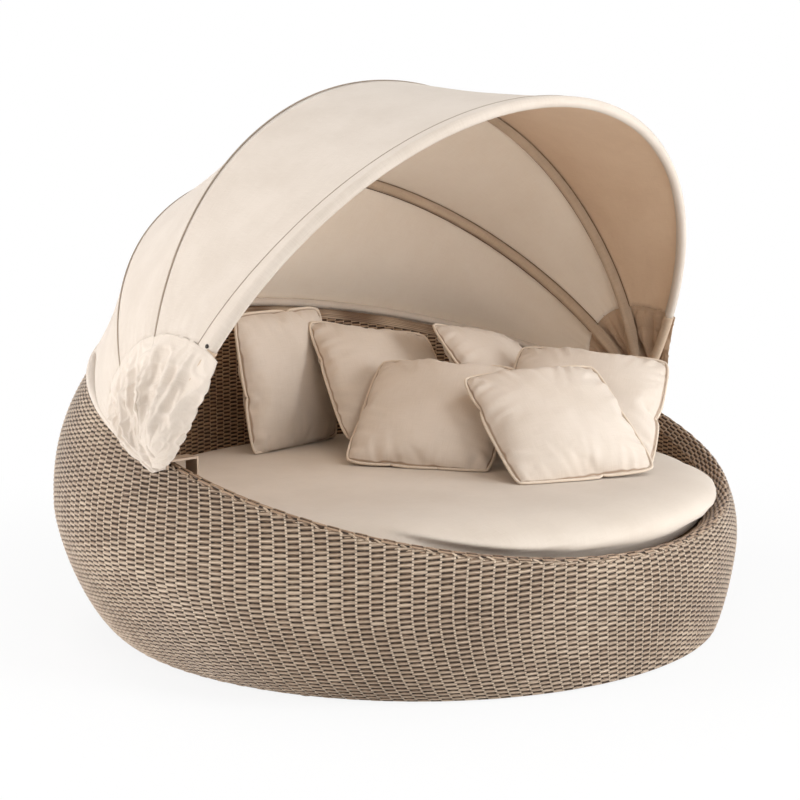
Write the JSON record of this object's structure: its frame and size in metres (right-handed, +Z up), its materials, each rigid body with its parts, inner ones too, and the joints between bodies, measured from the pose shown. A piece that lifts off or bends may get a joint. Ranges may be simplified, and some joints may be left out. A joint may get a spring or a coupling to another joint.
{
  "type": "outdoor daybed with canopy",
  "caption": "Oval woven daybed bowl, low in front and high behind, with a round seat cushion, scatter cushions and a fold-back cloth canopy on hinged bows",
  "frame": {"origin": "on the floor under the middle of the bounding box", "axes": "+Z up, -Y the open front, +X to the right seen from the front"},
  "size_m": [2, 1.8, 1.4726],
  "materials": {
    "wicker": "synthetic strand, plain weave of mixed tan and brown",
    "wicker_inner": "synthetic strand, plain weave, darker inner side",
    "braid": "plaited synthetic strand",
    "frame_tube": "powder coated tube",
    "deck": "sealed board",
    "glide": "moulded glide",
    "cushion": "matt woven cover over foam",
    "scatter": "matt woven cover over soft filling",
    "canopy_cloth": "matt woven canopy cloth",
    "bow_tube": "satin tube with flattened ends",
    "fixings": "stainless washer and nut"
  },
  "bodies": {
    "bowl": {"wicker_shell": "wicker", "wicker_lining": "wicker_inner", "rim_braid": "braid", "base_ring": "frame_tube", "seat_ring": "frame_tube", "rim_ring": "frame_tube", "rib_1": "frame_tube", "rib_2": "frame_tube", "rib_3": "frame_tube", "rib_4": "frame_tube", "rib_5": "frame_tube", "rib_6": "frame_tube", "rib_7": "frame_tube", "rib_8": "frame_tube", "glide_1": "glide", "glide_2": "glide", "glide_3": "glide", "glide_4": "glide", "glide_5": "glide", "glide_6": "glide", "deck_bar_1": "frame_tube", "deck_bar_2": "frame_tube", "deck_bar_3": "frame_tube", "seat_deck": "deck", "seat_cushion": "cushion", "scatter_cushion_1": "scatter", "scatter_cushion_2": "scatter", "scatter_cushion_3": "scatter", "scatter_cushion_4": "scatter", "scatter_cushion_5": "scatter", "scatter_cushion_6": "scatter", "pivot_bracket_left": "bow_tube", "pivot_washer_left": "fixings", "pivot_nut_left": "fixings", "pivot_bracket_right": "bow_tube", "pivot_washer_right": "fixings", "pivot_nut_right": "fixings", "rear_bow": "bow_tube"},
    "third_bow_set": {"third_bow": "bow_tube", "rear_panel": "canopy_cloth", "rear_drape_left": "canopy_cloth", "rear_drape_right": "canopy_cloth"},
    "second_bow_set": {"second_bow": "bow_tube", "middle_panel": "canopy_cloth", "middle_drape_left": "canopy_cloth", "middle_drape_right": "canopy_cloth"},
    "front_bow_set": {"front_bow": "bow_tube", "front_panel": "canopy_cloth", "front_drape_left": "canopy_cloth", "front_drape_right": "canopy_cloth"}
  },
  "joints": [
    {"name": "third_bow_fold", "type": "hinge", "parent": "bowl", "child": "third_bow_set", "pos_m": [0, -0.147, 0.54], "axis": [-1, 0, 0], "range_deg": [0, 24], "deforming": ["rear_panel", "rear_drape_left", "rear_drape_right"]},
    {"name": "second_bow_fold", "type": "hinge", "parent": "third_bow_set", "child": "second_bow_set", "pos_m": [0, -0.147, 0.54], "axis": [-1, 0, 0], "range_deg": [0, 24], "deforming": ["middle_panel", "middle_drape_left", "middle_drape_right"]},
    {"name": "front_bow_fold", "type": "hinge", "parent": "second_bow_set", "child": "front_bow_set", "pos_m": [0, -0.147, 0.54], "axis": [-1, 0, 0], "range_deg": [0, 31], "deforming": ["front_panel", "front_drape_left", "front_drape_right"]}
  ]
}
